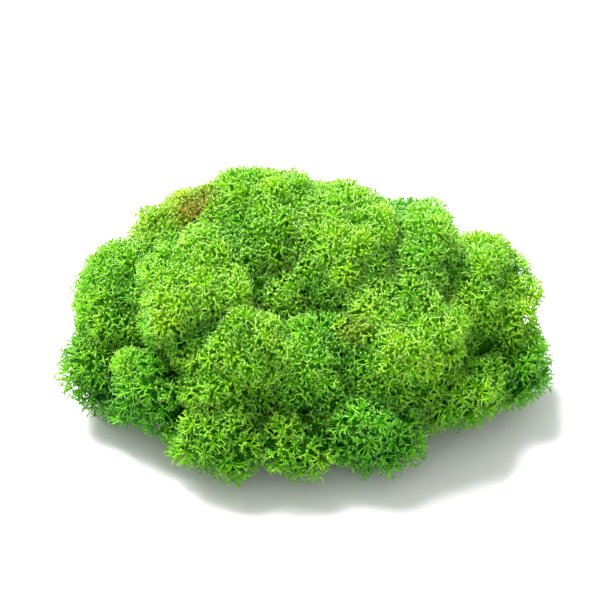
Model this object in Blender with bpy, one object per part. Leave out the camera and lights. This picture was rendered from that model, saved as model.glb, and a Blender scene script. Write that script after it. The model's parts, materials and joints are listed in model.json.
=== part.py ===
"""A clump of reindeer moss: rounded heads of fine branch tips on forked stems, bedded in a mat of old stems.

Metres, +Z up. The origin is the middle of the underside, and the clump is widest along X. Sizes and places below are
real ones in millimetres.
"""

import math
import random

import bmesh
import bpy
import numpy as np
from mathutils import Vector
from mathutils.geometry import intersect_point_line

MM = 0.001
SEED = 11

# Heads: x, y, z of the middle, radius of the cap, and colour. Front is -Y.
MAIN_HEADS = {
    "head_left": (-33, 4, 20, 17.0, "bright_moss"),
    "head_upper_left": (-25, 12, 26, 15.5, "olive_moss"),
    "head_top": (-9, 11, 31, 18.5, "bright_moss"),
    "head_middle": (10, 5, 30, 18.0, "bright_moss"),
    "head_inner": (-4, -3, 26, 14.0, "deep_moss"),
    "head_inner_left": (-20, -3, 27, 18.0, "bright_moss"),
    "head_inner_right": (23, 4, 27, 16.5, "deep_moss"),
    "head_right": (34, 4, 20, 17.5, "bright_moss"),
    "head_front_left": (-14, -13, 21, 17.0, "bright_moss"),
    "head_front": (2, -14, 20, 15.0, "deep_moss"),
    "head_front_right": (19, -10, 22, 18.0, "bright_moss"),
    "head_back_left": (-18, 18, 19, 17.0, "deep_moss"),
    "head_back": (2, 18, 22, 17.0, "bright_moss"),
    "head_back_right": (21, 14, 21, 17.0, "deep_moss"),
}
SIDE_HEADS = {
    "side_head_left": (-41, -7, 10, 11.5, "bright_moss"),
    "side_head_left_front": (-30, -14, 13, 12.5, "deep_moss"),
    "side_head_front_left": (-17, -24, 10, 12.5, "bright_moss"),
    "side_head_front": (-1, -25, 10, 11.0, "bright_moss"),
    "side_head_front_right": (15, -23, 11, 12.5, "deep_moss"),
    "side_head_right_front": (33, -13, 13, 13.0, "bright_moss"),
    "side_head_right": (44, -6, 10, 11.0, "deep_moss"),
    "side_head_right_back": (37, 18, 11, 12.5, "bright_moss"),
    "side_head_back_right": (16, 25, 11, 12.0, "bright_moss"),
    "side_head_back": (-5, 26, 11, 13.0, "deep_moss"),
    "side_head_back_left": (-29, 25, 10, 12.0, "bright_moss"),
    "side_head_left_back": (-40, 15, 10, 12.0, "bright_moss"),
}
HEADS = MAIN_HEADS | SIDE_HEADS

CAP_GAP = 0.3  # between the caps of two heads
GROUND_GAP = 0.8  # under the lowest caps
CAP_UNDERSIDE = 0.72  # height of a cap's underside as a share of its radius
TIP_HEIGHT = (1.5, 2.6)
TIP_SPACING = 2.7  # between neighbouring tips
TIPS_DOWN_TO = -0.92  # lowest direction, as a sine, that a cap carries tips in
LOBES = 18  # round lobes on the body of a cap
LOBE_OUT = (0.5, 0.66)  # share of the cap's radius that a lobe's middle stands out
LOBE_SIZE = (0.26, 0.4)  # radius of a lobe as a share of the cap's
BODY_SIZE = 0.8  # radius of the round body under the lobes, as such a share
BLEND = 1.5  # how softly lobes that meet run into each other, also across two caps
REACH_TRIED = (0.5, 1.6)  # shares of the cap's radius between which its outline is looked for
REACH_STEP = 0.3
JITTER = 0.12  # share of the spacing by which points stand off their even places
LOBE_JITTER = 0.3

# Stems: each head has a trunk from its socket in the mat to its cap, with forks that spread under the cap.
TRUNK_RADIUS = (1.8, 1.3)  # at the foot and at the cap
FORK_RADIUS = (1.0, 0.8)
FORKS = 3
FORK_FROM = 0.6  # share of the trunk's length at which the forks leave it
FORK_SPREAD = 0.5  # share of the cap's radius that they reach out to
FORK_DROP = 0.15  # share of the cap's radius that they end below its middle
STEM_SIDES = 7
SOCKET_GAP = 0.35
SOCKET_REACH = 14.0  # length of the hole cut for a foot, out past the mat's surface

# The mat of old stems.
MAT_HALF = (30, 17)  # along X and Y
MAT_MIDDLE = 6.0  # height of its widest level
MAT_TOP = 14.0
MAT_STUB = (1.0, 3.0)  # how far the broken stem ends stand out
MAT_POINTS = 150
MAT_STUBS_DOWN_TO = -0.75
FOOT_PULL = 0.62  # a stem's foot stands this share as far out from the middle as its head does
FOOT_HEIGHT = 6.0

WALL_TRIALS = 600  # directions tried for the plane between a cap and the mat
FACES_A_POINT = 2  # on a closed mesh of triangles

COLOURS = {
    "bright_moss": (0.26, 0.47, 0.03),
    "deep_moss": (0.10, 0.34, 0.04),
    "olive_moss": (0.25, 0.31, 0.05),
    "old_stems": (0.16, 0.13, 0.06),
}
ROUGHNESS = 0.85


def clear_scene():
    for item in list(bpy.data.objects):
        bpy.data.objects.remove(item, do_unlink=True)


def new_collection(name):
    collection = bpy.data.collections.new(name)
    bpy.context.scene.collection.children.link(collection)
    return collection


def new_material(name, colour):
    material = bpy.data.materials.new(name)
    material.use_nodes = True
    shader = material.node_tree.nodes["Principled BSDF"]
    shader.inputs["Base Color"].default_value = (*colour, 1)
    shader.inputs["Roughness"].default_value = ROUGHNESS
    shader.inputs["Metallic"].default_value = 0
    return material


def new_object(name, bm, collection, material=None):
    """Makes an object of a bmesh whose numbers are millimetres."""
    bmesh.ops.scale(bm, vec=(MM, MM, MM), verts=bm.verts)
    bmesh.ops.recalc_face_normals(bm, faces=bm.faces)
    mesh = bpy.data.meshes.new(name)
    bm.to_mesh(mesh)
    bm.free()
    if material:
        mesh.materials.append(material)
    item = bpy.data.objects.new(name, mesh)
    collection.objects.link(item)
    return item


def golden_directions(count):
    """Directions spread evenly over a sphere, from the top down."""
    turn = math.pi * (3 - math.sqrt(5))
    for step in range(count):
        height = 1 - 2 * (step + 0.5) / count
        ring = math.sqrt(1 - height * height)
        yield Vector((ring * math.cos(turn * step), ring * math.sin(turn * step), height))


def uneven_directions(count, jitter, draw):
    """Directions spread over a sphere, each a little off its even place."""
    amount = jitter * math.sqrt(4 * math.pi / count)
    for direction in golden_directions(count):
        yield (direction + Vector([draw.uniform(-amount, amount) for _ in range(3)])).normalized()


def direction_mesh(count, draw):
    """A closed triangle mesh whose points are directions, one unit from the middle."""
    bm = bmesh.new()
    for direction in uneven_directions(count, JITTER, draw):
        bm.verts.new(direction)
    bmesh.ops.convex_hull(bm, input=bm.verts)
    return bm


def raise_points(bm, surface, has_tip, heights, draw):
    """Moves each point out to the surface, and raises a tip in the middle of each face that has one."""
    covered = [face for face in bm.faces if has_tip(face.calc_center_median().normalized())]
    tips = set(bmesh.ops.poke(bm, faces=covered, offset=0)["verts"])
    for point in bm.verts:
        tip = draw.uniform(*heights) if point in tips else 0
        point.co = surface(point.co.normalized(), tip)


def middle_of(name):
    return Vector(HEADS[name][:3])


def foot_of(name):
    middle = middle_of(name)
    return Vector((middle.x * FOOT_PULL, middle.y * FOOT_PULL, FOOT_HEIGHT))


def cap_walls(name):
    """Planes halfway between this cap and the ones that it presses against, as (normal, room)."""
    radius = HEADS[name][3]
    walls = []
    for other in HEADS:
        way = middle_of(other) - middle_of(name)
        other_radius = HEADS[other][3]
        if other == name or way.length > radius + other_radius + 2 * TIP_HEIGHT[1]:
            continue
        room = (way.length_squared + radius**2 - other_radius**2) / (2 * way.length) - CAP_GAP / 2
        walls.append((way.normalized(), room))
    return walls


def round_lobes(draw):
    """All caps' round lobes, and the round bodies under them, as rows of a middle and a radius."""
    rows = []
    for name in HEADS:
        middle, radius = middle_of(name), HEADS[name][3]
        rows.append((*middle, radius * BODY_SIZE))
        for direction in uneven_directions(LOBES, LOBE_JITTER, draw):
            lobe = middle + direction * radius * draw.uniform(*LOBE_OUT)
            rows.append((*lobe, radius * draw.uniform(*LOBE_SIZE)))
    return np.array(rows)


def soft_reach(name, direction, lobes):
    """How far the soft outline round all lobes lies from a cap's middle in a direction."""
    radius = HEADS[name][3]
    tried = np.arange(REACH_TRIED[0] * radius, REACH_TRIED[1] * radius, REACH_STEP)
    places = np.array(middle_of(name)) + tried[:, None] * np.array(direction)
    gaps = np.linalg.norm(places[:, None] - lobes[:, :3], axis=2) - lobes[:, 3]
    depths = BLEND * np.log(np.exp(-gaps / BLEND).sum(1))
    first_outside = (depths < 0).argmax()
    if first_outside == 0:
        return tried[-1]
    inner, outer = depths[first_outside - 1], depths[first_outside]
    return tried[first_outside - 1] + REACH_STEP * inner / (inner - outer)


def held_back(reach, walls):
    """Shortens a reach from a cap's middle until it ends inside every wall."""
    for normal, room in walls:
        out = reach.dot(normal)
        if out > room:
            reach = reach * (room / out)
    return reach


def stems(name):
    """The trunk and the forks under one cap, each as (start, end, radii)."""
    draw = random.Random(f"{SEED} {name}")
    foot, middle = foot_of(name), middle_of(name)
    lines = [(foot, middle, TRUNK_RADIUS)]
    leave = foot.lerp(middle, FORK_FROM)
    first_angle = draw.uniform(0, 2 * math.pi)
    walls = [(normal, room - 2 * FORK_RADIUS[0]) for normal, room in cap_walls(name)]
    for fork in range(FORKS):
        angle = first_angle + fork * 2 * math.pi / FORKS
        out = Vector((math.cos(angle), math.sin(angle), 0)) * FORK_SPREAD
        spread = (out + Vector((0, 0, -FORK_DROP))) * HEADS[name][3]
        lines.append((leave, middle + held_back(spread, walls), FORK_RADIUS))
    return lines


def stem_walls(name):
    """Planes that keep this cap clear of the stems that pass it on their way to other caps."""
    middle = middle_of(name)
    walls = []
    for other in HEADS:
        if other == name:
            continue
        for start, end, radii in stems(other):
            _, share = intersect_point_line(middle, start, end)
            way = start.lerp(end, min(max(share, 0), 1)) - middle
            walls.append((way.normalized(), way.length - max(radii) - CAP_GAP))
    return walls


def mat_wall(name):
    """The plane that parts this cap best from the mat with its stubs."""
    half = Vector((MAT_HALF[0], MAT_HALF[1], MAT_TOP - MAT_MIDDLE)) + Vector([MAT_STUB[1]] * 3)
    way = middle_of(name) - Vector((0, 0, MAT_MIDDLE))

    def room(normal):
        reach = Vector((normal.x * half.x, normal.y * half.y, normal.z * half.z)).length
        return way.dot(normal) - reach - CAP_GAP

    best = max(golden_directions(WALL_TRIALS), key=room)
    return [(-best, room(best))]


def ground_wall(name):
    """The level that keeps a low cap off the ground."""
    return [(Vector((0, 0, -1)), middle_of(name).z - GROUND_GAP)]


def cap(name, lobes, draw):
    """The head's rounded top: lobes covered with tips, as relief on one star-shaped surface."""
    middle, radius = middle_of(name), HEADS[name][3]
    walls = cap_walls(name) + stem_walls(name) + mat_wall(name) + ground_wall(name)
    near = lobes[np.linalg.norm(lobes[:, :3] - np.array(middle), axis=1) < radius * 2 + lobes[:, 3]]

    def free_reach(direction, tip):
        reach = direction * (soft_reach(name, direction, near) + tip)
        if reach.z < 0:
            reach.z *= CAP_UNDERSIDE
        return reach

    def surface(direction, tip):
        return middle + held_back(free_reach(direction, tip), walls)

    def has_tip(direction):
        reach = free_reach(direction, 0)
        return direction.z > TIPS_DOWN_TO and held_back(reach, walls) == reach

    tips = 4 * math.pi * radius**2 / TIP_SPACING**2
    bm = direction_mesh(round(tips / FACES_A_POINT), draw)
    raise_points(bm, surface, has_tip, TIP_HEIGHT, draw)
    return bm


def stem_mesh(start, end, radii):
    """A tapered stem between two points."""
    way = end - start
    bm = bmesh.new()
    bmesh.ops.create_cone(
        bm, cap_ends=True, segments=STEM_SIDES, radius1=radii[0], radius2=radii[1], depth=way.length
    )
    bmesh.ops.rotate(bm, verts=bm.verts, matrix=way.to_track_quat("Z", "Y").to_matrix())
    bmesh.ops.translate(bm, verts=bm.verts, vec=(start + end) / 2)
    return bm


def mat_surface(direction, stub):
    """The mat is a low dome with a drawn-in underside, cut flat later."""
    half = Vector((MAT_HALF[0], MAT_HALF[1], MAT_TOP - MAT_MIDDLE))
    reach = Vector((direction.x * half.x, direction.y * half.y, direction.z * half.z))
    reach += direction * stub
    return Vector((0, 0, MAT_MIDDLE)) + reach


def mat(draw):
    bm = direction_mesh(MAT_POINTS, draw)
    raise_points(bm, mat_surface, lambda direction: direction.z > MAT_STUBS_DOWN_TO, MAT_STUB, draw)
    everything = bm.verts[:] + bm.edges[:] + bm.faces[:]
    cut = bmesh.ops.bisect_plane(
        bm, geom=everything, plane_co=(0, 0, 0), plane_no=(0, 0, -1), clear_outer=True
    )
    rim = [item for item in cut["geom_cut"] if isinstance(item, bmesh.types.BMEdge)]
    bmesh.ops.contextual_create(bm, geom=rim)
    return bm


def join_or_cut(item, mode, others):
    """Runs one Boolean of an object with a collection, keeps the result and removes the collection's objects."""
    boolean = item.modifiers.new("join", "BOOLEAN")
    boolean.operation = mode
    boolean.operand_type = "COLLECTION"
    boolean.collection = others
    boolean.solver = "EXACT"
    evaluated = item.evaluated_get(bpy.context.evaluated_depsgraph_get())
    mesh = bpy.data.meshes.new_from_object(evaluated)
    item.modifiers.clear()
    item.data = mesh
    for used in list(others.objects):
        bpy.data.objects.remove(used, do_unlink=True)
    bpy.data.collections.remove(others)


def build_head(name, lobes, collection, materials, draw):
    colour = HEADS[name][4]
    item = new_object(name, cap(name, lobes, draw), collection, materials[colour])
    branches = new_collection("stems_of_" + name)
    for number, line in enumerate(stems(name)):
        new_object(f"stem_{name}_{number}", stem_mesh(*line), branches)
    join_or_cut(item, "UNION", branches)


def build_mat(collection, materials, draw):
    item = new_object("old_stem_mat", mat(draw), collection, materials["old_stems"])
    sockets = new_collection("sockets")
    for name in HEADS:
        foot = foot_of(name)
        up = (middle_of(name) - foot).normalized()
        start = foot - up * SOCKET_GAP
        radius = TRUNK_RADIUS[0] + SOCKET_GAP
        new_object("socket_" + name, stem_mesh(start, start + up * SOCKET_REACH, (radius, radius)), sockets)
    join_or_cut(item, "DIFFERENCE", sockets)


def stand_at_origin(items):
    """Moves the clump sideways until the origin is under the middle of its outline."""
    bpy.context.view_layer.update()
    corners = [item.matrix_world @ Vector(corner) for item in items for corner in item.bound_box]
    for axis in (0, 1):
        places = [corner[axis] for corner in corners]
        for item in items:
            item.location[axis] -= (min(places) + max(places)) / 2


def main():
    clear_scene()
    clump = new_collection("reindeer_moss_clump")
    materials = {name: new_material(name, colour) for name, colour in COLOURS.items()}
    draw = random.Random(SEED)
    lobes = round_lobes(draw)
    for name in HEADS:
        build_head(name, lobes, clump, materials, draw)
    build_mat(clump, materials, draw)
    stand_at_origin(clump.objects)


main()
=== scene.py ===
"""Looks of the reindeer moss clump.

Each head of the frame becomes a lace of star-tipped branchlets over an inside painted dark as shade, on a
bunch of forking stems. The mat under them becomes a tangle of old stems. Metres, in the frame's own axes.

Each point of a piece has a tone, from 0 at the root of its branchlet to 1 at the tip, which painted shade
lowers in the hollows and on the low sides, a tint, which is below 0 where it is darker and above 0 where it
is lighter: dye that differs at random, painted shade in creases, seams, lump dips and on the low sides, and
painted light on lump tops, a share of undyed colour and a share of brown. The materials make colours of them,
darker towards the root, partly as the lichen's own colour and partly as painted shade deep in the lace.
"""

import json
import math
import random
from typing import NamedTuple

import bmesh
import bpy
import numpy as np
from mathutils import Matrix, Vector, noise
from mathutils.bvhtree import BVHTree
from mathutils.kdtree import KDTree


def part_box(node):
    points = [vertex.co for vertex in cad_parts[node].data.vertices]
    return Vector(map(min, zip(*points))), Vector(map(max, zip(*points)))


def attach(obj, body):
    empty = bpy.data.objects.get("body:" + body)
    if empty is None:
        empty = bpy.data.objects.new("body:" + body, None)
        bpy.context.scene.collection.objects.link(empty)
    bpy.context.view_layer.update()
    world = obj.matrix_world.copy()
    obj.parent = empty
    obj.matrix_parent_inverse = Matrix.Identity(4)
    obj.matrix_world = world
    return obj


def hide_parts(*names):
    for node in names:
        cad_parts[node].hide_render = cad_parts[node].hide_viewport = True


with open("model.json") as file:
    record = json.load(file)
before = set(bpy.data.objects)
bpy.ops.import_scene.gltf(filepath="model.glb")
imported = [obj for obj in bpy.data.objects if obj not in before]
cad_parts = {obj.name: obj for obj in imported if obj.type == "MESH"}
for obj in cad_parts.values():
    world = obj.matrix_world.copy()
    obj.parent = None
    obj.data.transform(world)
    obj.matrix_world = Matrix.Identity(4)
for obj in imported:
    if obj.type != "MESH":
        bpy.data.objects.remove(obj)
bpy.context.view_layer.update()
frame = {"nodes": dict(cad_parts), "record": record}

MM = 0.001
SEED = 7
SEED_SPAN = 10**9
MAT_NODE = "old_stem_mat"
HEADS = sorted(node for node in frame["nodes"] if node != MAT_NODE)
SLOT_OF = {row["node"]: row["material_slot"] for row in frame["record"]["subparts"]}


class StarLayer(NamedTuple):
    """One layer of the stars of pointed arms that the branchlets end in."""

    spacing: float
    height: float  # over the smoothed cap
    height_spread: float
    arm: float  # length of an arm
    arm_radius: float  # share of its length
    arm_bend: float  # share of its length
    arm_counts: tuple  # one is drawn for each star
    tones: tuple  # from the root to the tip of an arm
    skips_hollows: bool  # whether it leaves the hollows open


# Lace: short stars on top, lower stars under them, and a light net of long bent arms over both.
STAR_LAYERS = (
    StarLayer(
        spacing=0.72 * MM, height=0.95 * MM, height_spread=0.22 * MM,
        arm=0.62 * MM, arm_radius=0.2, arm_bend=0, arm_counts=(4, 5, 5),
        tones=(0.74, 0.97), skips_hollows=True,
    ),
    StarLayer(
        spacing=1.1 * MM, height=-0.05 * MM, height_spread=0.25 * MM,
        arm=0.68 * MM, arm_radius=0.2, arm_bend=0, arm_counts=(3, 4, 4),
        tones=(0.6, 0.88), skips_hollows=False,
    ),
    StarLayer(
        spacing=1.9 * MM, height=0.9 * MM, height_spread=0.15 * MM,
        arm=1.5 * MM, arm_radius=0.11, arm_bend=0.22, arm_counts=(2, 3, 3),
        tones=(0.82, 1.0), skips_hollows=False,
    ),
)
STEM_STARS = 1  # which layer's stars stand under the caps too
STAR_KINDS = 40  # for each layer
STAR_SIZES = (0.85, 1.15)  # shares of the layer's own
STAR_OUTWARDS = 0.5  # how far stars turn from their branchlet to the cap's own outward way
STAR_TINT_SPREAD = 0.12
ARM_ANGLE = (48, 84)  # degrees off the branchlet's own way
ARM_LENGTHS = (0.75, 1.2)  # shares of the layer's own
ARM_SHIFT = 0.2  # share of the angle between arms
BENT_ARM_WAIST = 0.85  # share of its radius that a bent arm has at its middle
BENT_ARM_TONES = (0, 0.6, 1)
SPIN = 6.3  # radians, about a full turn
BRANCHLET_SIDES = 3
TWIG_RADII = (0.15 * MM, 0.13 * MM)  # of the last branchlet, below its star
TWIG_TONE = 0.4
ROOT_SPACING = 3.6 * MM
FORK_SPACING = 2.1 * MM
FORK_DEPTH = 1.0 * MM
FORK_DEPTH_SPREAD = 0.2 * MM
FORK_RADII = (0.24 * MM, 0.17 * MM)
FORK_TONES = (0.1, 0.45)
FORK_TINT_SPREAD = 0.08
LEAN = 0.45  # how far forks lean away from the middle of their bunch
SIDE_TIPS = 2  # short bare tips at each fork
SIDE_TIP_LENGTH = 1.0 * MM
SIDE_TIP_DROP = 1.0 * MM  # how far under the fork they may start
SIDE_TIP_OUTWARDS = 0.35  # how far outwards they turn, against any other way
SIDE_TIP_TONES = (0.3, 0.6)
HOLLOW_SPACING = 2.3 * MM
HOLLOW_RADIUS = (0.48 * MM, 1.05 * MM)  # of the small holes between the stars, high and low on the clump
HOLLOW_RIM = 0.2  # share of that radius, from the rim inwards, that stars still grow on
HOLLOW_SHADE = 0.45  # share of the tone that is lost at the middle of a hole

# Inside of a cap, painted dark as shade, and the short branchlets on it.
CORE_DEPTH = 2.6 * MM  # how far it lies under the outline
CORE_SHARE = 0.23  # but no more than this share of the cap's radius
CORE_GAP = 0.4 * MM  # and under the cap's own sides, where they face other caps
FUZZ_SPACING = 1.05 * MM
FUZZ_LENGTH = (1.3 * MM, 2.4 * MM)
FUZZ_RADIUS = 0.17 * MM
FUZZ_REACH = 5 * MM  # how far under the outline they still grow
FUZZ_OUTWARDS = 0.9  # how far outwards they turn, against any other way
FUZZ_TONES = (0.12, 0.62)
FUZZ_TINT_SPREAD = 0.2

# Reading the caps of the frame.
BALL_CUTS = 5  # subdivisions of the ball that a cap is read onto
CORE_CUTS = 4
SMOOTHING = 12  # rounds that even out the frame's large tips
FOOT_SPAN = 4.2 * MM  # of the points round the stem's end that make its foot
USUAL_REACH = 75  # percentile of a cap's distances that is its radius
MOST_REACH = 1.35  # share of its radius that it is cut to
STEM_CONE = 0.93  # cosine of the angle round the stem within which it is cut closer
STEM_SIDE_REACH = 0.8  # to this share
STEP_ON = 0.01 * MM  # past a face that a ray has met
SPREAD_TRIES = 9  # tries for each place that a surface may hold
OPEN_RAYS = 20
OPEN_START = 0.5 * MM  # how far over the cap the rays start
OPEN_OUTWARDS = 0.4  # how far outwards they turn
CLUMP_WIDTH = 0.12
LEAST_OPEN = 0.13  # share of rays that must get away from a place for branchlets to grow there

# Small round bunches on each cap.
BUNCH_WIDTH = 6.2 * MM
BUNCH_DEPTH = 1.5 * MM
BUNCH_APART = 0.8  # least distance between their middles, as a share of the width
BUNCH_TRIES = 30  # for each bunch that a cap may hold
BUNCH_RISE = 0.35 * MM
BUNCH_TINT_SPREAD = 0.14
CREASE_LIMIT = 1.35  # distance from a bunch's middle, in its radii, at which the crease gets no deeper
CREASE_SHADE = 0.35

# Seams between caps, and uneven lumps that run on over them.
SEAM_WIDTH = 0.9 * MM  # gaps between caps up to this width close in the outline
SEAM_DEPTH = 0.1  # of the valley along a seam, as a share of the cap's radius
SEAM_SPAN = 0.38  # how far it reaches to each side, as such a share
SEAM_SHADE = 0.3
SEAM_USUAL = 0.7  # usual share of the depth
SEAM_CHANGE = 1.6  # how much that share changes
SEAM_VARIES_OVER = 15 * MM
LUMP_WIDTH = 9 * MM
LUMP_HEIGHT = 3.6 * MM
# painted light on the lumps' tops and painted shade in their dips
LUMP_LIGHT_AND_SHADE = 0.5

# Painted light and shade: high places are painted lighter, and low sides are thin, painted darker and less
# evenly dyed.
HEAD_TINT_SPREAD = 0.12
TOP_TINT = 0.2
CORE_PAINTED_SHADE_TONE = 0.25  # of the inside at the top, dark as painted shade
CORE_LOW_PAINTED_SHADE = 1.3  # how much more painted shade darkens the inside near the ground
LOW_SIDES = (5 * MM, 34 * MM)  # heights between which the lace thickens and lightens
LOW_SHARE = 0.5  # of the stars that grow at the lower height
LOW_SHADED_TONE = 0.66  # their tone under painted shade, as a share of the usual one
LOW_PAINTED_SHADE = 0.8  # how much painted shade darkens them
LOW_UNDYED = 0.45  # share of undyed colour in the palest of them

# Stems under a head, from the foot up.
STEMS_A_HEAD = 8
STEM_RADIUS = (0.75 * MM, 0.4 * MM)
STEM_SIZES = (0.75, 1.1)
STEM_SIDES = 5
STEM_RINGS = 6
STEM_TONES = (0.25, 0.7)
STEM_FADE = 1.5  # how fast the undyed colour of the foot gives way
STEM_END_DEPTH = 1.5 * MM  # under the outline
STEM_TOPS = -0.25  # stems end in the part of the cap whose cosine to their axis is below this
STEM_BEND_AT = 0.55  # share of its length
STEM_BEND = (-1 * MM, 2.2 * MM)  # outwards
STEM_JITTER = 0.28 * MM
FOOT_WIDTH = 1.6 * MM
FOOT_SHARES = (0.2, 1)  # of that width, from the foot's middle
STEM_FORK_ANGLE = (0.5, 0.9)  # radians
STEM_FORK_LENGTH = (2.2 * MM, 4.5 * MM)
STEM_FORK_BOW = 0.25 * MM
STEM_FORK_RADII = (0.75, 0.6, 0.5)  # shares of the stem's
STEM_FORK_TONES = (0.35, 0.45, 0.55)
STEM_STAR_SIZES = (0.6 * MM, 0.9 * MM)
STEM_STAR_DEPTH = 0.4 * MM  # of the star in the fork's end
STEM_STAR_TINT = -0.2
STEM_STAR_TONES = (0.5, 0.75)

# Tangle of old stems.
TWIGS = 340
TWIG_SPACING = 2.6 * MM
TWIG_LENGTH = (7 * MM, 17 * MM)
TWIG_RADIUS = (0.55 * MM, 0.3 * MM)
TWIG_SIZES = (0.7, 1.15)
TWIG_SIDES = 5
TWIG_RINGS = 7
TWIG_TONES = (0.3, 0.8)
TWIG_TINT_SPREAD = 0.3
TWIG_SAG = (0.1, 0.45)  # four times how far its ends bend down, as a share of its length
TWIG_HEIGHT = (-0.6 * MM, 0.9 * MM)  # over the mat
TWIG_JITTER = 0.35 * MM
TWIG_SLOPE = 0.5  # how far the mat's own slope turns it, against the way from the mat's middle
TWIG_FORK_RINGS = (2, 3, 4)
TWIG_BARE = 0.45  # share of these rings that have no fork
TWIG_FORK_ANGLE = (0.6, 1.1)  # radians
TWIG_FORK_LENGTH = (1.8 * MM, 4.2 * MM)
TWIG_FORK_BOW = 0.2 * MM
TWIG_FORK_RADII = (0.8, 0.65, 0)  # shares of the old stem's
TWIG_FORK_TONES = (0.4, 0.6, 0.9)
FORK_SIDES = 4
FELT_SIZE = 0.9  # share of the mat's
FELT_TONE = 0.1
FELT_MIDDLE_HEIGHT = 0.42  # share of the mat's
MAT_UNDERSIDE = 0.2 * MM  # points up to this height stay on the ground

MATERIAL_NAMES = {
    "bright_moss": "bright_moss_lace",
    "deep_moss": "deep_moss_lace",
    "olive_moss": "olive_moss_lace",
    "old_stems": "old_stem_bark",
}

# Colours of each slot's material, at these places from the root to the tip of a branchlet. The dark roots are
# partly the lichen's own colour and partly painted shade deep in the lace.
RAMP_PLACES = (0, 0.55, 0.82, 1)
COLOURS = {
    "bright_moss": ((0.007, 0.065, 0.0), (0.205, 0.60, 0.010), (0.285, 0.615, 0.045), (0.375, 0.615, 0.20)),
    "deep_moss": ((0.005, 0.06, 0.0), (0.155, 0.57, 0.014), (0.24, 0.585, 0.05), (0.345, 0.605, 0.20)),
    "olive_moss": ((0.009, 0.06, 0.0), (0.23, 0.55, 0.010), (0.305, 0.58, 0.04), (0.39, 0.595, 0.175)),
    "old_stems": ((0.012, 0.010, 0.004), (0.09, 0.07, 0.03), (0.17, 0.14, 0.07), (0.26, 0.21, 0.12)),
}
MOSS_ROUGHNESS = 0.72
MOSS_GLOSS = 0.08
PATCH_SCALE = 65  # of the noise that changes from bunch to bunch
PATCH_DETAIL = 3
PATCH_STRENGTH = 1.5
GRAIN_SCALE = 1400  # of the noise that changes from branchlet to branchlet, towards the root
GRAIN_STRENGTH = 6.0
SAME_HUE = 0.5  # changes nothing
HUE_CHANGE = -0.03  # with the tint
VALUE_CHANGE = 0.35
MOST_VALUE = 1.08  # of the palest branchlets, against the usual ones
UNDYED = (0.56, 0.50, 0.30)  # colour of what the dye didn't reach
UNDYED_ROOTS = 0.35  # brightness of its roots, against its tips

# Brown patches: middle, radius and how brown.
BROWN_PATCHES = (
    ((-24 * MM, 12 * MM, 40 * MM), 7.5 * MM, 1.0),
    ((9 * MM, -19 * MM, 33 * MM), 4.5 * MM, 0.55),
)
BROWN_FADE = 2  # the brown is full up to 1 - 1 / BROWN_FADE of the radius
BROWN_TIPS = (0.31, 0.25, 0.035)
BROWN_ROOTS = 0.3  # brightness of its roots, against its tips
RAGGED_SCALE = 500  # of the noise that breaks up the patches
RAGGED_STRENGTH = 2.0
RAGGED_OFFSET = -0.3

# Stage, light and camera.
FLOOR_SIZE = 6
FLOOR_COLOUR = (0.9, 0.9, 0.9)
FLOOR_ROUGHNESS = 0.6
WORLD_STRENGTH = 0.85
SUN_STRENGTH = 7.8
SUN_ANGLE = 28  # degrees across
SUN_PLACE = (-0.32, 0.38, 0.8)
CAMERA_ELEVATION = 44  # degrees
CAMERA_DISTANCE = 0.49
CAMERA_TARGET = (0, 0, 0.021)
CAMERA_LENS = 130  # mm, on a sensor of the width below
CAMERA_SENSOR = 36

# Directions that help to find others at right angles to a way that doesn't run along them.
TUBE_HELPER = (-0.31, -0.84, -0.45)
TILT_HELPER = (-0.62, 0.35, -0.7)
UPRIGHT = 0.9  # how much of a way may be upwards where the z axis is the helper
SHORTEST = 1e-12  # length that a vector is divided by at least


class Growth:
    """Gathers tubes and copies of stars, and makes one mesh of them."""

    def __init__(self):
        self.points, self.quads, self.tris = [], [], []
        self.values = {"tone": [], "tint": [], "undyed": []}
        self.count = 0

    def add(self, points, quads, tris, tones, tints, undyed=0.0):
        self.points.append(np.asarray(points, float).reshape(-1, 3))
        self.quads.append(np.asarray(quads, int).reshape(-1, 4) + self.count)
        self.tris.append(np.asarray(tris, int).reshape(-1, 3) + self.count)
        new = len(self.points[-1])
        for label, values in (("tone", tones), ("tint", tints), ("undyed", undyed)):
            self.values[label].append(np.broadcast_to(values, new))
        self.count += new

    def mesh(self, name):
        """The mesh, with nothing below the ground."""
        points = np.concatenate(self.points)
        points[:, 2] = np.maximum(points[:, 2], 0)
        quads = np.concatenate(self.quads)
        tris = np.concatenate(self.tris)
        mesh = bpy.data.meshes.new(name)
        mesh.vertices.add(len(points))
        mesh.vertices.foreach_set("co", points.ravel())
        corners = np.concatenate([quads.ravel(), tris.ravel()])
        sizes = np.concatenate([np.full(len(quads), 4), np.full(len(tris), 3)])
        starts = np.concatenate([[0], np.cumsum(sizes)[:-1]])
        mesh.loops.add(len(corners))
        mesh.loops.foreach_set("vertex_index", corners)
        mesh.polygons.add(len(sizes))
        mesh.polygons.foreach_set("loop_start", starts)
        mesh.update(calc_edges=True)
        mesh.validate()
        mesh.shade_smooth()
        values = {label: np.concatenate(parts) for label, parts in self.values.items()}
        values["brown"] = brown_share(points)
        for label, value in values.items():
            layer = mesh.attributes.new(label, "FLOAT", "POINT")
            layer.data.foreach_set("value", value.astype(np.float32))
        return mesh


def brown_share(points):
    """How far each point lies in a brown patch."""
    share = np.zeros(len(points))
    for middle, radius, strength in BROWN_PATCHES:
        away = np.linalg.norm(points - middle, axis=1) / radius
        share = np.maximum(share, strength * np.clip(BROWN_FADE - BROWN_FADE * away, 0, 1))
    return share


def array_draws(draw):
    """A source of random arrays that follows from the one seed."""
    return np.random.default_rng(draw.randrange(SEED_SPAN))


def any_way(draw):
    return [draw.gauss(0, 1) for _ in range(3)]


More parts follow.
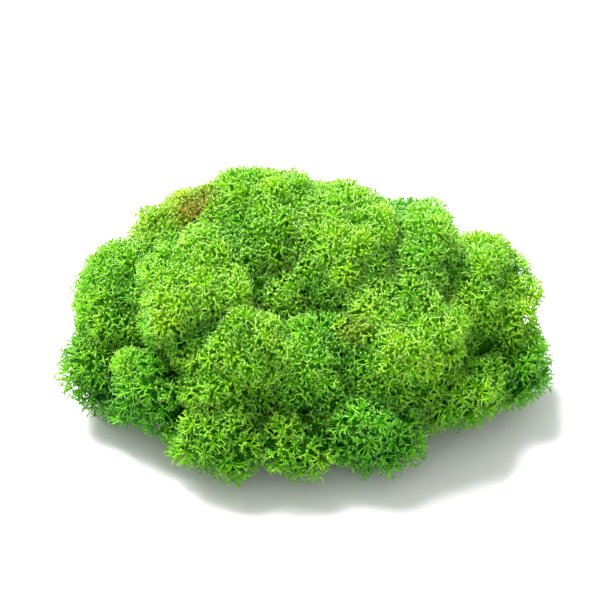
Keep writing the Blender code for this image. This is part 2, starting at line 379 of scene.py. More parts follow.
def jitter(count, size, draw):
    return np.array([[draw.gauss(0, size) for _ in range(3)] for _ in range(count)])


def unit(v):
    v = np.asarray(v, float)
    return v / np.maximum(np.linalg.norm(v, axis=-1, keepdims=True), SHORTEST)


def square_to(ways, helper):
    """Two directions at right angles to each way and to each other."""
    across = unit(np.cross(helper, ways))
    return across, np.cross(ways, across)


def off_axis(ways):
    """For each way, an axis that isn't close to it."""
    return np.where(np.abs(ways[:, 2:3]) < UPRIGHT, (0.0, 0.0, 1.0), (1.0, 0.0, 0.0))


def tilted(way, angle, turn):
    """A direction that stands off another by an angle."""
    way = unit(way)
    across, other = square_to(way, TILT_HELPER)
    return way * math.cos(angle) + (across * math.cos(turn) + other * math.sin(turn)) * math.sin(angle)


def tube(path, radii, sides, tones):
    """A tapered tube along a path. Where the last radius is 0, it ends in a point."""
    path, radii = np.asarray(path, float), np.asarray(radii, float)
    across, other = square_to(unit(path[-1] - path[0]), TUBE_HELPER)
    angles = np.arange(sides) * 2 * math.pi / sides
    ring = np.cos(angles)[:, None] * across + np.sin(angles)[:, None] * other
    pointed = radii[-1] == 0
    rings = len(path) - 1 if pointed else len(path)
    points = (path[:rings, None] + radii[:rings, None, None] * ring).reshape(-1, 3)
    here = np.arange(sides)
    after = (here + 1) % sides
    quads = [
        np.stack([here + low, after + low, after + low + sides, here + low + sides], 1)
        for low in range(0, (rings - 1) * sides, sides)
    ]
    quads = np.concatenate(quads) if quads else np.zeros((0, 4), int)
    tris = np.zeros((0, 3), int)
    tone = np.repeat(np.asarray(tones, float)[:rings], sides)
    if pointed:
        last = (rings - 1) * sides
        tris = np.stack([here + last, after + last, np.full(sides, rings * sides)], 1)
        points = np.concatenate([points, path[-1:]])
        tone = np.append(tone, tones[-1])
    return points, quads, tris, tone


def side_fork(start, end, bow, radii, tones):
    """A short, slightly bowed branch of a stem."""
    return tube([start, (start + end) / 2 + bow, end], radii, FORK_SIDES, tones)


def joined(parts):
    """Several (points, quads, tris, tone) as one."""
    at = np.cumsum([0] + [len(part[0]) for part in parts[:-1]])
    return (
        np.concatenate([part[0] for part in parts]),
        np.concatenate([part[1] + start for part, start in zip(parts, at)]),
        np.concatenate([part[2] + start for part, start in zip(parts, at)]),
        np.concatenate([part[3] for part in parts]),
    )


def star(layer, draw):
    """A whorl of pointed arms round the end of a branchlet. Its arms are about one unit long."""
    count = draw.choice(layer.arm_counts)
    turn = draw.uniform(0, 2 * math.pi)
    radius = layer.arm_radius
    arms = []
    for arm in range(count):
        angle = turn + 2 * math.pi * (arm + draw.uniform(-ARM_SHIFT, ARM_SHIFT)) / count
        way = tilted((0, 0, 1), math.radians(draw.uniform(*ARM_ANGLE)), angle)
        end = way * draw.uniform(*ARM_LENGTHS)
        if layer.arm_bend:
            aside = tilted(way, math.pi / 2, draw.uniform(0, 2 * math.pi)) * layer.arm_bend
            radii = (radius, radius * BENT_ARM_WAIST, 0)
            arms.append(tube([(0, 0, 0), end / 2 + aside, end], radii, BRANCHLET_SIDES, BENT_ARM_TONES))
        else:
            arms.append(tube([(0, 0, 0), end], (radius, 0), BRANCHLET_SIDES, (0, 1)))
    return joined(arms)


def rings_round(ways):
    """The corners' directions round each branchlet, as (corner, branchlet, axis)."""
    across, other = square_to(ways, off_axis(ways))
    angles = (np.arange(BRANCHLET_SIDES) * 2 * math.pi / BRANCHLET_SIDES)[:, None, None]
    return np.cos(angles) * across + np.sin(angles) * other


def rods(growth, starts, ends, radii, tones, tints):
    """Tapered branchlets between pairs of points."""
    ring = rings_round(unit(ends - starts))
    low = (starts + radii[0] * ring).transpose(1, 0, 2)
    high = (ends + radii[1] * ring).transpose(1, 0, 2)
    count, sides = len(starts), BRANCHLET_SIDES
    first = (np.arange(count) * 2 * sides)[:, None]
    quads = np.concatenate([
        first + np.array([i, (i + 1) % sides, (i + 1) % sides + sides, i + sides]) for i in range(sides)
    ])
    growth.add(
        np.concatenate([low, high], 1),
        quads,
        [],
        np.tile(np.repeat(tones, sides), count),
        np.repeat(np.broadcast_to(tints, count), 2 * sides),
    )


def thorns(growth, starts, ends, radius, tones, tints):
    """Pointed tips between pairs of points."""
    ring = rings_round(unit(ends - starts))
    low = (starts + radius * ring).transpose(1, 0, 2)
    count, sides = len(starts), BRANCHLET_SIDES
    first = (np.arange(count) * (sides + 1))[:, None]
    tris = np.concatenate([first + np.array([i, (i + 1) % sides, sides]) for i in range(sides)])
    growth.add(
        np.concatenate([low, ends[:, None]], 1),
        [],
        tris,
        np.tile([tones[0]] * sides + [tones[1]], count),
        np.repeat(np.broadcast_to(tints, count), sides + 1),
    )


def plant(growth, stars, kinds, at, way, size, spin, tints, tone_span, light, undyed):
    """Adds copies of the stars, each standing at a point along a direction."""
    low, high = tone_span
    for kind, (points, quads, tris, tone) in enumerate(stars):
        chosen = np.flatnonzero(kinds == kind)
        if not len(chosen):
            continue
        up = unit(way[chosen])
        across, other = square_to(up, off_axis(up))
        turn = spin[chosen, None]
        first = across * np.cos(turn) + other * np.sin(turn)
        second = other * np.cos(turn) - across * np.sin(turn)
        basis = np.stack([first, second, up], 1) * size[chosen, None, None]
        placed = np.einsum("pk,nkj->npj", points, basis) + at[chosen, None]
        starts = (np.arange(len(chosen)) * len(points))[:, None, None]
        growth.add(
            placed,
            (quads[None] + starts).reshape(-1, 4),
            (tris[None] + starts).reshape(-1, 3),
            (light[chosen, None] * (low + (high - low) * tone)).ravel(),
            np.repeat(tints[chosen], len(points)),
            np.repeat(undyed[chosen], len(points)),
        )


def ball(cuts):
    """Directions of an even ball, with its faces and edges."""
    bm = bmesh.new()
    bmesh.ops.create_icosphere(bm, subdivisions=cuts, radius=1)
    points = unit([v.co for v in bm.verts])
    faces = np.array([[v.index for v in face.verts] for face in bm.faces])
    edges = np.array([[v.index for v in edge.verts] for edge in bm.edges])
    bm.free()
    return points, faces, edges


# The fine ball that caps are read onto, the coarser one of their insides, and the nearest points of each on
# the other.
BALL = ball(BALL_CUTS)
CORE_BALL = ball(CORE_CUTS)
CORE_ON_BALL = (CORE_BALL[0] @ BALL[0].T).argmax(1)
BALL_ON_CORE = (BALL[0] @ CORE_BALL[0].T).argmax(1)


def evened(values, edges, rounds):
    """Each value moved towards the mean of its neighbours."""
    count = np.bincount(edges.ravel(), minlength=len(values))
    for _ in range(rounds):
        total = np.bincount(edges[:, 0], values[edges[:, 1]], len(values))
        total += np.bincount(edges[:, 1], values[edges[:, 0]], len(values))
        values = 0.5 * values + 0.5 * total / count
    return values


def mesh_arrays(node):
    mesh = frame["nodes"][node].data
    points = np.empty(len(mesh.vertices) * 3)
    mesh.vertices.foreach_get("co", points)
    mesh.calc_loop_triangles()
    tris = np.empty(len(mesh.loop_triangles) * 3, int)
    mesh.loop_triangles.foreach_get("vertices", tris)
    return points.reshape(-1, 3), tris.reshape(-1, 3)


def joined_tree(meshes):
    """One search tree of several (points, faces)."""
    starts = np.cumsum([0] + [len(points) for points, _ in meshes[:-1]])
    points = np.concatenate([points for points, _ in meshes])
    faces = np.concatenate([faces + start for (_, faces), start in zip(meshes, starts)])
    return BVHTree.FromPolygons(points.tolist(), faces.tolist())


def point_tree(points, numbers):
    """A search tree of some of the points."""
    tree = KDTree(len(numbers))
    for n in numbers:
        tree.insert(points[n], n)
    tree.balance()
    return tree


def volume_middle(points, tris):
    a, b, c = (points[tris[:, i]] for i in range(3))
    volumes = np.einsum("ij,ij->i", a, np.cross(b, c))
    return ((a + b + c) / 4 * volumes[:, None]).sum(0) / volumes.sum()


def face_normals(points, faces):
    """At right angles to each face, and as long as twice its area."""
    a, b, c = (points[faces[:, i]] for i in range(3))
    return np.cross(b - a, c - a)


def vertex_normals(points, faces):
    flat = face_normals(points, faces)
    normals = np.zeros_like(points)
    for i in range(3):
        np.add.at(normals, faces[:, i], flat)
    return unit(normals)


def outer_reach(tree, middle, way):
    """How far the caps go on in a direction, through the narrow seams between them."""
    reach = tree.ray_cast(middle, way)[3] or 0
    while True:
        start = middle + way * (reach + STEP_ON)
        seam = tree.ray_cast(start, way, SEAM_WIDTH)[3]
        if seam is None:
            return reach
        onwards = tree.ray_cast(start + way * (seam + STEP_ON), way)[3]
        if onwards is None:
            return reach
        reach += seam + onwards + 2 * STEP_ON


def seam_valley(points, outside, edges, span):
    """Depth, from 0 to about 1, of the uneven valley where another cap takes over the outline."""
    seam = np.unique(edges[outside[edges[:, 0]] != outside[edges[:, 1]]])
    depth = np.zeros(len(points))
    if not len(seam):
        return depth
    tree = point_tree(points, seam)
    for n, point in enumerate(points.tolist()):
        away = tree.find(point)[2]
        if away < span:
            usual = SEAM_USUAL + SEAM_CHANGE * noise.noise(Vector(point) / SEAM_VARIES_OVER)
            depth[n] = (1 - away / span) ** 2 * max(usual, 0)
    return depth


class Head:
    """A cap of the frame, read as distances from its middle, and its stem's foot."""

    def __init__(self, node, outer_tree, draw):
        points, tris = mesh_arrays(node)
        self.node = node
        self.middle = volume_middle(points, tris)
        furthest = points[np.argmax(np.linalg.norm(points - self.middle, axis=1))]
        self.foot = points[np.linalg.norm(points - furthest, axis=1) < FOOT_SPAN].mean(0)
        self.ways, self.faces, self.edges = BALL
        outer = self.read_cap(BVHTree.FromPolygons(points.tolist(), tris.tolist()), outer_tree)
        self.shape_outline(outer, draw)
        self.points = self.middle + self.ways * self.reach[:, None]
        self.normals = vertex_normals(self.points, self.faces)
        self.open_share = None

    def read_cap(self, own_tree, outer_tree):
        """Reads how far the cap goes, and returns how far the outline over all the caps goes."""
        middle = Vector(self.middle)
        own = np.array([own_tree.ray_cast(middle, Vector(way))[3] or 0 for way in self.ways])
        outer = np.array([outer_reach(outer_tree, middle, Vector(way)) for way in self.ways])
        self.radius = np.percentile(own, USUAL_REACH)
        stem_side = self.ways @ unit(self.foot - self.middle) > STEM_CONE
        most = np.where(stem_side, self.radius * STEM_SIDE_REACH, self.radius * MOST_REACH)
        own = np.minimum(own, most)
        outer = np.where(stem_side, own, np.minimum(outer, most))
        self.outside = outer - own < SEAM_WIDTH
        self.near_outside = outer - own < FUZZ_REACH
        self.inner = evened(own, self.edges, SMOOTHING)
        return outer

    def shape_outline(self, outer, draw):
        """Gives the outline its seams, lumps and bunches, with the bunches' random tints, painted shade in
        the creases, seams and lump dips, and painted light on the lump tops.
        """
        on_outline = self.middle + self.ways * outer[:, None]
        valley = seam_valley(on_outline, self.outside, self.edges, SEAM_SPAN * self.radius)
        lump = np.array([noise.noise(Vector(point) / LUMP_WIDTH) for point in on_outline.tolist()])
        uneven = outer - SEAM_DEPTH * self.radius * valley + LUMP_HEIGHT * lump
        smooth = evened(uneven, self.edges, SMOOTHING)
        self.bunch_ways = self.spread_bunches(draw)
        away = np.linalg.norm(self.ways[:, None] - self.bunch_ways[None], axis=2)
        self.bunch = away.argmin(1)
        crease = np.minimum(away.min(1) * self.radius / (BUNCH_WIDTH / 2), CREASE_LIMIT) ** 2
        rise = np.array([draw.uniform(-BUNCH_RISE, BUNCH_RISE) for _ in self.bunch_ways])
        tint = np.array([draw.gauss(0, BUNCH_TINT_SPREAD) for _ in self.bunch_ways])
        self.reach = smooth - BUNCH_DEPTH * crease + rise[self.bunch]
        # painted shade in creases and seams, and painted light and shade on the lumps, over the bunches'
        # random tints
        self.tint = tint[self.bunch] - CREASE_SHADE * crease + LUMP_LIGHT_AND_SHADE * lump - SEAM_SHADE * valley

    def spread_bunches(self, draw):
        """Directions of the small round bunches, spread by keeping them apart."""
        count = round(4 * math.pi * self.radius**2 / BUNCH_WIDTH**2)
        apart = BUNCH_APART * BUNCH_WIDTH / self.radius
        kept = []
        for _ in range(count * BUNCH_TRIES):
            way = unit(any_way(draw))
            if all(np.linalg.norm(way - other) > apart for other in kept):
                kept.append(way)
        return np.array(kept)

    def read_openness(self, tree, draw):
        """Share of rays round each place of the cap that get away from the clump."""
        fans = [unit(any_way(draw)) for _ in range(OPEN_RAYS)]
        shares = []
        for n in CORE_ON_BALL:
            place, normal = self.points[n], self.normals[n]
            start = Vector(place + normal * OPEN_START)
            free = 0
            for fan in fans:
                way = (fan if fan @ normal > 0 else -fan) + normal * OPEN_OUTWARDS
                free += tree.ray_cast(start, Vector(way), CLUMP_WIDTH)[0] is None
            shares.append(free / OPEN_RAYS)
        self.open_share = np.array(shares)[BALL_ON_CORE]

    def core_reach(self):
        depth = min(CORE_DEPTH, CORE_SHARE * self.radius)
        return np.minimum(self.inner - CORE_GAP, self.reach - depth)

    def core(self):
        """The inside, painted dark as shade: the same form, smaller and coarser."""
        ways, faces, _ = CORE_BALL
        return self.middle + ways * self.core_reach()[CORE_ON_BALL][:, None], faces


def spread_points(points, faces, spacing, wanted, draw):
    """Places on a surface that keep a distance from each other, with their face's points and its weights."""
    faces = faces[wanted]
    areas = np.linalg.norm(face_normals(points, faces), axis=1) / 2
    tries = int(areas.sum() / spacing**2 * SPREAD_TRIES)
    rng = array_draws(draw)
    face = rng.choice(len(faces), tries, p=areas / areas.sum())
    u, v = rng.random((2, tries))
    flip = u + v > 1
    u, v = np.where(flip, 1 - u, u), np.where(flip, 1 - v, v)
    weights = np.stack([1 - u - v, u, v], 1)
    at = np.einsum("nk,nkj->nj", weights, points[faces[face]])
    cells, kept = {}, []
    keys = np.floor(at / spacing).astype(int)
    around = [(i, j, k) for i in (-1, 0, 1) for j in (-1, 0, 1) for k in (-1, 0, 1)]
    square = spacing**2
    for n, ((i, j, k), (x, y, z)) in enumerate(zip(keys.tolist(), at.tolist())):
        near = [q for a, b, c in around for q in cells.get((i + a, j + b, k + c), ())]
        if all((x - q[0]) ** 2 + (y - q[1]) ** 2 + (z - q[2]) ** 2 >= square for q in near):
            cells.setdefault((i, j, k), []).append((x, y, z))
            kept.append(n)
    return at[kept], faces[face[kept]], weights[kept]


def places_on(head, spacing, draw):
    """Evenly spread places on the open side of a cap, as (place, normal, its point on the cap)."""
    wanted = (head.open_share[head.faces].max(1) >= LEAST_OPEN) & head.outside[head.faces].any(1)
    at, corners, weights = spread_points(head.points, head.faces, spacing, wanted, draw)
    normals = unit(np.einsum("nk,nkj->nj", weights, head.normals[corners]))
    return at, normals, corners[:, 0]


def lowness(places):
    """0 high on the clump, 1 near the ground."""
    return 1 - np.clip((places[:, 2] - LOW_SIDES[0]) / (LOW_SIDES[1] - LOW_SIDES[0]), 0, 1)


def depth_in_hollows(places, hollows):
    """How deep each place lies in a hollow: 1 at its middle, 0 at its rim and less outside it."""
    radius = HOLLOW_RADIUS[0] + (HOLLOW_RADIUS[1] - HOLLOW_RADIUS[0]) * lowness(places)
    return 1 - np.array([hollows.find(place)[2] for place in places.tolist()]) / radius


def nearest(places, others):
    """The number of the other place that is nearest to each place."""
    return np.linalg.norm(places[:, None] - others[None], axis=2).argmin(1)


def grow_fuzz(growth, head, head_tint, draw):
    """Short branchlets over the inside of a cap, dark from their low tones, with painted shade on the low
    sides.
    """
    rng = array_draws(draw)
    wanted = (head.open_share[head.faces].max(1) >= LEAST_OPEN / 2) & head.near_outside[head.faces].any(1)
    surface = head.middle + head.ways * head.core_reach()[:, None]
    at, corners, _ = spread_points(surface, head.faces, FUZZ_SPACING, wanted, draw)
    on = corners[:, 0]
    way = unit(head.normals[on] * FUZZ_OUTWARDS + unit(rng.normal(0, 1, at.shape)))
    # painted shade on the low sides
    tints = head_tint + head.tint[on] + rng.normal(0, FUZZ_TINT_SPREAD, len(at)) - LOW_PAINTED_SHADE * lowness(at)
    ends = at + way * rng.uniform(*FUZZ_LENGTH, len(at))[:, None]
    thorns(growth, at, ends, FUZZ_RADIUS, FUZZ_TONES, tints)


def grow_forks(growth, head, head_tint, rng, draw):
    """Branchlets that fork from the inside out, with short bare tips. Returns the last forks' places."""
    roots, normals, _ = places_on(head, ROOT_SPACING, draw)
    roots = roots - normals * CORE_DEPTH
    forks, normals, on = places_on(head, FORK_SPACING, draw)
    bunch_middle = head.middle + head.bunch_ways[head.bunch[on]] * (head.radius - BUNCH_WIDTH / 2)
    lean = unit(normals + LEAN * unit(forks - bunch_middle))
    forks = forks - lean * (FORK_DEPTH + rng.normal(0, FORK_DEPTH_SPREAD, len(forks)))[:, None]
    tints = head_tint + head.tint[on] + rng.normal(0, FORK_TINT_SPREAD, len(forks))
    rods(growth, roots[nearest(forks, roots)], forks, FORK_RADII, FORK_TONES, tints)
    for _ in range(SIDE_TIPS):
        way = unit(normals * SIDE_TIP_OUTWARDS + unit(rng.normal(0, 1, normals.shape)))
        start = forks - normals * rng.uniform(0, 1, len(forks))[:, None] * SIDE_TIP_DROP
        thorns(growth, start, start + way * SIDE_TIP_LENGTH, FORK_RADII[1], SIDE_TIP_TONES, tints)
    return forks


def grow_lace(growth, head, head_tint, star_sets, draw):
    """Covers the open side of a cap with branchlets that end in stars, round many small hollows."""
    rng = array_draws(draw)
    forks = grow_forks(growth, head, head_tint, rng, draw)
    hollow_middles, _, _ = places_on(head, HOLLOW_SPACING, draw)
    hollows = point_tree(hollow_middles, range(len(hollow_middles)))
    for layer, stars in zip(STAR_LAYERS, star_sets):
        at, normals, on = places_on(head, layer.spacing, draw)
        low, depth = lowness(at), depth_in_hollows(at, hollows)
        kept = rng.random(len(at)) > low * (1 - LOW_SHARE)
        if layer.skips_hollows:
            kept &= depth < HOLLOW_RIM
        at, normals, on, low, depth = (values[kept] for values in (at, normals, on, low, depth))
        # painted shade on the low sides and in the hollows
        light = (1 - low * (1 - LOW_SHADED_TONE)) * (1 - HOLLOW_SHADE * np.clip(depth, 0, 1))
        count = len(at)
        at = at + normals * (layer.height + rng.normal(0, layer.height_spread, count))[:, None]
        fork = forks[nearest(at, forks)]
        tints = head_tint + head.tint[on] + rng.normal(0, STAR_TINT_SPREAD, count)
        # painted shade on the low sides
        tints += TOP_TINT - LOW_PAINTED_SHADE * low
        undyed = LOW_UNDYED * low * rng.random(count)
        rods(growth, fork, at, TWIG_RADII, (TWIG_TONE, layer.tones[0]), tints)
        way = unit(at - fork) + normals * STAR_OUTWARDS
        kinds = rng.integers(0, len(stars), count)
        sizes = layer.arm * rng.uniform(*STAR_SIZES, count)
        spins = rng.uniform(0, SPIN, count)
        plant(growth, stars, kinds, at, way, sizes, spins, tints, layer.tones, light, undyed)


def stem_path(start, end, axis, side, draw):
    """From the foot up, bent outwards and a little crooked."""
    bend = start + axis * np.linalg.norm(end - start) * STEM_BEND_AT + side * draw.uniform(*STEM_BEND)
    share = np.linspace(0, 1, STEM_RINGS)[:, None]
    path = (1 - share) ** 2 * start + 2 * share * (1 - share) * bend + share**2 * end
    path[1:-1] += jitter(STEM_RINGS - 2, STEM_JITTER, draw)
    return path


def grow_stems(growth, head, head_tint, stars, draw):
    """The bunch of forking stems that carries a cap, from its foot in the mat."""
    axis = unit(head.middle - head.foot)
    below = np.flatnonzero(head.ways @ axis < STEM_TOPS).tolist()
    undyed = np.repeat(np.linspace(1, 0, STEM_RINGS) ** STEM_FADE, STEM_SIDES)
    star_at, star_way = [], []
    for _ in range(STEMS_A_HEAD):
        target = draw.choice(below)
        end = head.middle + head.ways[target] * (head.reach[target] - STEM_END_DEPTH)
        side = unit(np.cross(axis, any_way(draw)))
        start = head.foot + side * draw.uniform(*FOOT_SHARES) * FOOT_WIDTH
        path = stem_path(start, end, axis, side, draw)
        radii = np.linspace(*STEM_RADIUS, STEM_RINGS) * draw.uniform(*STEM_SIZES)
        growth.add(*tube(path, radii, STEM_SIDES, np.linspace(*STEM_TONES, STEM_RINGS)), head_tint, undyed)
        for ring in range(2, STEM_RINGS - 1):
            onwards = path[ring + 1] - path[ring]
            way = unit(tilted(onwards, draw.uniform(*STEM_FORK_ANGLE), draw.uniform(0, SPIN)))
            tip = path[ring] + way * draw.uniform(*STEM_FORK_LENGTH)
            fork_radii = radii[ring] * np.array(STEM_FORK_RADII)
            fork = side_fork(path[ring], tip, axis * STEM_FORK_BOW, fork_radii, STEM_FORK_TONES)
            growth.add(*fork, head_tint, undyed[ring * STEM_SIDES])
            star_at.append(tip - way * STEM_STAR_DEPTH)
            star_way.append(way)
    count = len(star_at)
    rng = array_draws(draw)
    kinds = rng.integers(0, len(stars), count)
    sizes = rng.uniform(*STEM_STAR_SIZES, count)
    spins = rng.uniform(0, SPIN, count)
    tints = np.full(count, head_tint + STEM_STAR_TINT)
    light, undyed = np.ones(count), np.zeros(count)
    at, way = np.array(star_at), np.array(star_way)
    plant(growth, stars, kinds, at, way, sizes, spins, tints, STEM_STAR_TONES, light, undyed)


def finish_piece(growth, name, node, materials):
    """Makes one piece of what has grown, to stand for a node of the frame."""
    piece = bpy.data.objects.new(name, growth.mesh(name))
    bpy.context.scene.collection.objects.link(piece)
    piece.data.materials.append(materials[SLOT_OF[node]])
    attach(piece, "root")
    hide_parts(node)


def dress_head(head, star_sets, materials, draw):
    """The inside painted dark as shade, the lace over it and the stems under it. Its tint makes up for the
    mean painted shade of the creases.
    """
    head_tint = draw.gauss(0, HEAD_TINT_SPREAD) + CREASE_SHADE / 2
    growth = Growth()
    inner, faces = head.core()
    low = lowness(inner)
    # the inside is painted dark as shade, and darker still near the ground
    growth.add(inner, [], faces, CORE_PAINTED_SHADE_TONE * (1 - low), head_tint - CORE_LOW_PAINTED_SHADE * low)
    grow_fuzz(growth, head, head_tint, draw)
    grow_lace(growth, head, head_tint, star_sets, draw)
    grow_stems(growth, head, head_tint, star_sets[STEM_STARS], draw)
    finish_piece(growth, head.node + "_lace", head.node, materials)


def grow_felt(growth, points, tris, middle):
    """The dark felt that the old stems form further in."""
    felt = points.copy()
    raised = felt[:, 2] > MAT_UNDERSIDE
    felt[raised] = middle + (felt[raised] - middle) * FELT_SIZE
    growth.add(felt, [], tris, FELT_TONE, 0.0)


def grow_old_stem(growth, place, normal, draw):
    """One old stem that lies bowed over the mat, with a few forks."""
    along = unit(np.cross(normal, any_way(draw)))
    length = draw.uniform(*TWIG_LENGTH)
    share = np.linspace(-0.5, 0.5, TWIG_RINGS)
    sag = (share**2)[:, None] * normal * -length * draw.uniform(*TWIG_SAG)
    path = place + normal * draw.uniform(*TWIG_HEIGHT) + share[:, None] * along * length + sag
    path += jitter(TWIG_RINGS, TWIG_JITTER, draw)
    path[:, 2] = np.maximum(path[:, 2], TWIG_RADIUS[0])
    radii = np.linspace(*TWIG_RADIUS, TWIG_RINGS) * draw.uniform(*TWIG_SIZES)
    radii[-1] = 0
    tint = draw.gauss(0, TWIG_TINT_SPREAD)
    growth.add(*tube(path, radii, TWIG_SIDES, np.linspace(*TWIG_TONES, TWIG_RINGS)), tint)
    for ring in TWIG_FORK_RINGS:
        if draw.random() < TWIG_BARE:
            continue
        onwards = path[ring + 1] - path[ring]
        way = tilted(onwards, draw.uniform(*TWIG_FORK_ANGLE), draw.uniform(0, SPIN))
        way[2] = abs(way[2])
        tip = path[ring] + way * draw.uniform(*TWIG_FORK_LENGTH)
        fork_radii = radii[ring] * np.array(TWIG_FORK_RADII)
        growth.add(*side_fork(path[ring], tip, normal * TWIG_FORK_BOW, fork_radii, TWIG_FORK_TONES), tint)


def dress_mat(materials, draw):
    """The tangle of old stems over their felt."""
    points, tris = mesh_arrays(MAT_NODE)
    low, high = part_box(MAT_NODE)
    middle = np.array([(low.x + high.x) / 2, (low.y + high.y) / 2, (low.z + high.z) * FELT_MIDDLE_HEIGHT])
    growth = Growth()
    grow_felt(growth, points, tris, middle)
    at, corners, _ = spread_points(points, tris, TWIG_SPACING, np.full(len(tris), True), draw)
    flat = unit(face_normals(points, corners))
    order = list(range(len(at)))
    draw.shuffle(order)
    for n in order[:TWIGS]:
        grow_old_stem(growth, at[n], unit(flat[n] * TWIG_SLOPE + unit(at[n] - middle)), draw)
    finish_piece(growth, "old_stem_tangle", MAT_NODE, materials)


class Shading:
    """A new material and short ways to add nodes to it."""

    def __init__(self, name):
        self.material = bpy.data.materials.new(name)
        self.material.use_nodes = True
        self.nodes = self.material.node_tree.nodes
        self.link = self.material.node_tree.links.new
        self.inputs = self.nodes["Principled BSDF"].inputs

    def math(self, operation, *inputs):
        """A Math node, with each input either a number or another node's output."""
        node = self.nodes.new("ShaderNodeMath")
        node.operation = operation
        for socket, value in zip(node.inputs, inputs):
            if isinstance(value, bpy.types.NodeSocket):
                self.link(value, socket)
            else:
                socket.default_value = value
        return node.outputs[0]

    def attribute(self, name):
        node = self.nodes.new("ShaderNodeAttribute")
        node.attribute_name = name
        return node.outputs["Fac"]

    def noise(self, where, scale, detail=2):
        node = self.nodes.new("ShaderNodeTexNoise")
        node.inputs["Scale"].default_value = scale
        node.inputs["Detail"].default_value = detail
        self.link(where, node.inputs["Vector"])
        return node.outputs["Fac"]

    def ramp(self, value, colours, places=(0, 1)):
        """Colours at places from 0 to 1."""
        node = self.nodes.new("ShaderNodeValToRGB")
        elements = node.color_ramp.elements
        elements[0].color = (*colours[0], 1)
        elements[1].color = (*colours[-1], 1)
        for place, colour in zip(places[1:-1], colours[1:-1]):
            elements.new(place).color = (*colour, 1)
        self.link(value, node.inputs["Fac"])
        return node.outputs["Color"]

    def darker_roots(self, tone, colour, root_share):
        """A colour that is darker towards the root, partly as painted shade."""
        return self.ramp(tone, [[part * root_share for part in colour], colour])

    def mixed(self, share, first, second):
        """The first colour where the share is 0, and the second where it is 1."""
        node = self.nodes.new("ShaderNodeMixRGB")
        self.link(share, node.inputs["Fac"])
        self.link(first, node.inputs["Color1"])
        self.link(second, node.inputs["Color2"])
        return node.outputs["Color"]


def moss_material(name, colours):
    """Dyed lichen: dark towards the root, partly its own colour and partly painted shade, light at the tips,
    uneven between bunches at random, with painted shade and light in the tint, brown in patches.
    """
    shading = Shading(name)
    shading.inputs["Roughness"].default_value = MOSS_ROUGHNESS
    shading.inputs["Specular IOR Level"].default_value = MOSS_GLOSS
    where = shading.nodes.new("ShaderNodeTexCoord").outputs["Object"]
    tone = shading.attribute("tone")
    patch = shading.noise(where, PATCH_SCALE, PATCH_DETAIL)
    patch = shading.math("MULTIPLY_ADD", patch, PATCH_STRENGTH, -PATCH_STRENGTH / 2)
    grain = shading.noise(where, GRAIN_SCALE)
    grain = shading.math("MULTIPLY_ADD", grain, GRAIN_STRENGTH, -GRAIN_STRENGTH / 2)
    darkness = shading.math("SUBTRACT", 1.0, tone)
    uneven = shading.math("ADD", patch, shading.attribute("tint"))
    uneven = shading.math("MULTIPLY_ADD", grain, darkness, uneven)
    value = shading.math("MULTIPLY_ADD", uneven, VALUE_CHANGE, 1.0)
    change = shading.nodes.new("ShaderNodeHueSaturation")
    shading.link(shading.math("MULTIPLY_ADD", uneven, HUE_CHANGE, SAME_HUE), change.inputs["Hue"])
    shading.link(shading.math("MINIMUM", value, MOST_VALUE), change.inputs["Value"])
    shading.link(shading.ramp(tone, colours, RAMP_PLACES), change.inputs["Color"])
    ragged = shading.noise(where, RAGGED_SCALE)
    ragged = shading.math("MULTIPLY_ADD", ragged, RAGGED_STRENGTH, RAGGED_OFFSET)
    browned = shading.math("MULTIPLY", shading.attribute("brown"), ragged)
    brown = shading.darker_roots(tone, BROWN_TIPS, BROWN_ROOTS)
    dyed = shading.mixed(browned, change.outputs["Color"], brown)
    undyed = shading.darker_roots(tone, UNDYED, UNDYED_ROOTS)
    shading.link(shading.mixed(shading.attribute("undyed"), dyed, undyed), shading.inputs["Base Color"])
    return shading.material


def floor_material():
    shading = Shading("floor_paint")
    shading.inputs["Base Color"].default_value = (*FLOOR_COLOUR, 1)
    shading.inputs["Roughness"].default_value = FLOOR_ROUGHNESS
    return shading.material


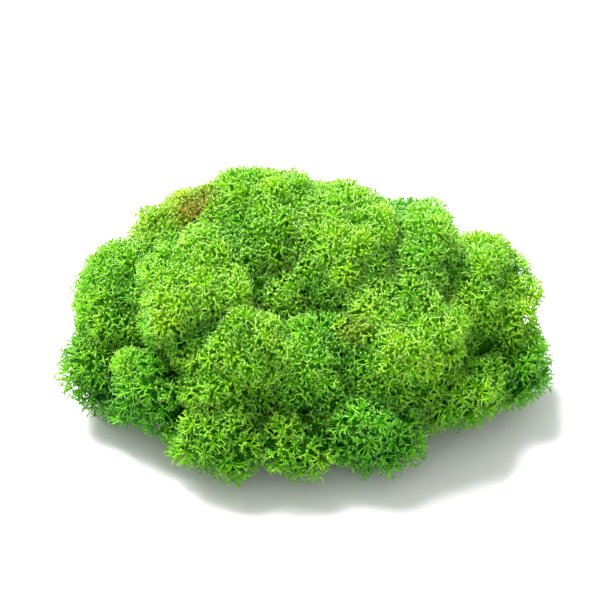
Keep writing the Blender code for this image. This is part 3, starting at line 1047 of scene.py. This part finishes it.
def set_stage():
    """A plain pale floor and a plain white world."""
    bpy.ops.mesh.primitive_plane_add(size=FLOOR_SIZE, location=(0, 0, 0))
    floor = bpy.context.object
    floor.name = "floor"
    floor.data.materials.append(floor_material())
    world = bpy.data.worlds.new("studio")
    bpy.context.scene.world = world
    world.use_nodes = True
    background = world.node_tree.nodes["Background"]
    background.inputs["Color"].default_value = (1, 1, 1, 1)
    background.inputs["Strength"].default_value = WORLD_STRENGTH
    bpy.context.scene.view_settings.view_transform = "Standard"


def set_lights():
    """A wide soft light from above, behind and left."""
    data = bpy.data.lights.new("key", "SUN")
    data.energy = SUN_STRENGTH
    data.angle = math.radians(SUN_ANGLE)
    key = bpy.data.objects.new("key", data)
    bpy.context.scene.collection.objects.link(key)
    key.location = SUN_PLACE
    key.rotation_euler = (-key.location).to_track_quat("-Z", "Y").to_euler()


def set_camera():
    """The photo's angle onto this clump, from about half a metre."""
    elevation = math.radians(CAMERA_ELEVATION)
    target = Vector(CAMERA_TARGET)
    data = bpy.data.cameras.new("camera")
    data.lens = CAMERA_LENS
    data.sensor_width = CAMERA_SENSOR
    camera = bpy.data.objects.new("camera", data)
    bpy.context.scene.collection.objects.link(camera)
    camera.location = target + Vector((0, -math.cos(elevation), math.sin(elevation))) * CAMERA_DISTANCE
    camera.rotation_euler = (target - camera.location).to_track_quat("-Z", "Y").to_euler()
    bpy.context.scene.camera = camera


def main():
    draw = random.Random(SEED)
    materials = {slot: moss_material(MATERIAL_NAMES[slot], COLOURS[slot]) for slot in COLOURS}
    star_sets = [[star(layer, draw) for _ in range(STAR_KINDS)] for layer in STAR_LAYERS]
    outer_tree = joined_tree([mesh_arrays(node) for node in HEADS])
    heads = [Head(node, outer_tree, draw) for node in HEADS]
    tree = joined_tree([head.core() for head in heads] + [mesh_arrays(MAT_NODE)])
    for head in heads:
        head.read_openness(tree, draw)
    for head in heads:
        dress_head(head, star_sets, materials, draw)
    dress_mat(materials, draw)
    set_stage()
    set_lights()
    set_camera()


main()
